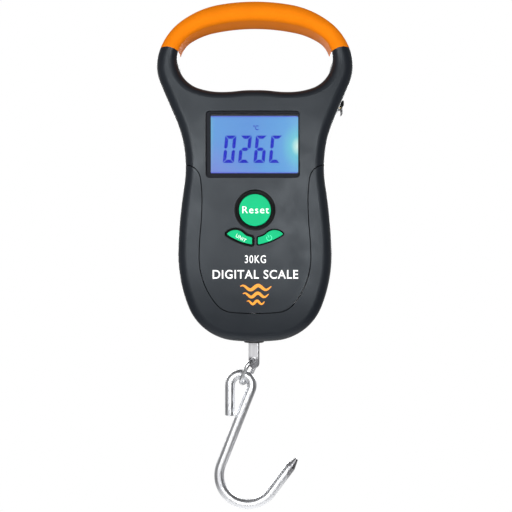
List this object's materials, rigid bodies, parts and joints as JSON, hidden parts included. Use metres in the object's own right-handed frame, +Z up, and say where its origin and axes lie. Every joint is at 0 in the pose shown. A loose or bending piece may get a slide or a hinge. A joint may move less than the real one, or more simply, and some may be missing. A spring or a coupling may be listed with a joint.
{
  "type": "digital fish scale",
  "caption": "Hand-held digital hanging scale with a finger-ring grip, LCD, keys, battery bay, bar load cell, pull-out tape, swivelling link and S-hook.",
  "frame": {"origin": "middle of the grip's underside, on the hand opening's upper edge, where the fingers carry the load", "axes": "+Z up along the scale as it hangs, front with display facing -Y, +X to the right as the display is read"},
  "size_m": [0.097, 0.0303, 0.2521],
  "materials": {
    "housing_grey": "fine satin texture",
    "grip_orange": "satin",
    "zinc_screw": "zinc plated",
    "clear_lens": "clear, polished",
    "black_plastic": "satin",
    "lcd_glass": "lit display glass",
    "light_guide": "clear light guide",
    "black_rubber": "matt",
    "board_green": "solder mask",
    "chip_black": "moulded epoxy",
    "key_green": "gloss",
    "nickel_plate": "nickel plated",
    "cell_wrap": "printed sleeve",
    "sheet_steel": "bare sheet",
    "beam_aluminium": "milled",
    "gauge_film": "polyimide film",
    "cable_sheath": "satin",
    "bright_steel": "polished, nickel plated",
    "tape_yellow": "lacquered blade"
  },
  "bodies": {
    "housing": {"front_cover": "housing_grey", "lower_bumper": "housing_grey", "rear_cover": "housing_grey", "grip_front": "grip_orange", "grip_rear": "grip_orange", "housing_screws": "zinc_screw", "pcb_screws": "zinc_screw", "load_screws": "zinc_screw", "window_lens": "clear_lens", "window_bezel": "black_plastic", "lcd_panel": "lcd_glass", "lcd_backlight": "light_guide", "backlight_led": "light_guide", "zebra_strip": "black_rubber", "main_pcb": "board_green", "circuit_chips": "chip_black", "piezo_buzzer": "chip_black", "tact_switches": "chip_black", "key_gasket": "black_rubber", "battery_tray": "black_plastic", "battery_contacts": "nickel_plate", "contact_springs": "nickel_plate", "battery_upper": "cell_wrap", "battery_lower": "cell_wrap", "battery_leads": "nickel_plate", "load_plate": "sheet_steel", "load_spacer": "sheet_steel", "load_cell": "beam_aluminium", "strain_gauges": "gauge_film", "gauge_cable": "cable_sheath", "stem_washer": "bright_steel", "bottom_collar": "black_plastic", "tape_case": "black_plastic", "tape_case_lid": "black_plastic", "tape_axle": "black_plastic", "tape_spring": "sheet_steel", "tape_mouth": "black_plastic"},
    "reset_key": {"reset_button": "key_green", "reset_plunger": "black_plastic"},
    "unit_key": {"unit_button": "key_green", "unit_plunger": "black_plastic"},
    "power_key": {"power_button": "key_green", "power_plunger": "black_plastic"},
    "rear_door": {"battery_door": "housing_grey"},
    "stem": {"hook_stem": "bright_steel", "stem_nut": "bright_steel"},
    "hook_link": {"link": "bright_steel"},
    "hook": {"s_hook": "bright_steel"},
    "tape": {"tape_blade": "tape_yellow", "tape_end_hook": "bright_steel", "tape_rivets": "bright_steel"},
    "reel": {"tape_reel": "black_plastic", "tape_coil": "tape_yellow"}
  },
  "joints": [
    {"name": "reset_press", "type": "slide", "parent": "housing", "child": "reset_key", "axis": [0, 1, 0], "range_m": [0, 0.0008], "stiffness_N_per_m": 1500, "springref_m": -0.0002},
    {"name": "unit_press", "type": "slide", "parent": "housing", "child": "unit_key", "axis": [0, 1, 0], "range_m": [0, 0.0008], "stiffness_N_per_m": 1500, "springref_m": -0.0002},
    {"name": "power_press", "type": "slide", "parent": "housing", "child": "power_key", "axis": [0, 1, 0], "range_m": [0, 0.0008], "stiffness_N_per_m": 1500, "springref_m": -0.0002},
    {"name": "battery_door_tilt", "type": "hinge", "parent": "housing", "child": "rear_door", "pos_m": [0, 0.0148, -0.07345], "axis": [1, 0, 0], "range_deg": [0, 70]},
    {"name": "hook_swivel", "type": "hinge", "parent": "housing", "child": "stem", "pos_m": [-0.0005, 0, -0.14], "axis": [0, 0, 1], "continuous": true},
    {"name": "link_swing", "type": "hinge", "parent": "stem", "child": "hook_link", "pos_m": [-0.0005, 0, -0.1673], "axis": [0.4695, 0.8829, 0], "range_deg": [-80, 30]},
    {"name": "hook_swing", "type": "hinge", "parent": "hook_link", "child": "hook", "pos_m": [-0.00601, 0.00293, -0.17938], "axis": [0, 1, 0], "range_deg": [-35, 60]},
    {"name": "tape_pull", "type": "slide", "parent": "housing", "child": "tape", "axis": [1, 0, 0], "range_m": [0, 0.025], "stiffness_N_per_m": 20, "springref_m": -0.03},
    {"name": "reel_spin", "type": "hinge", "parent": "housing", "child": "reel", "pos_m": [0.016, 0.003, -0.0528], "axis": [0, 1, 0], "range_deg": [0, 130]}
  ],
  "couplings": [
    {"joint": "reel_spin", "follows": "tape_pull", "rad_per_m": 88.496}
  ]
}
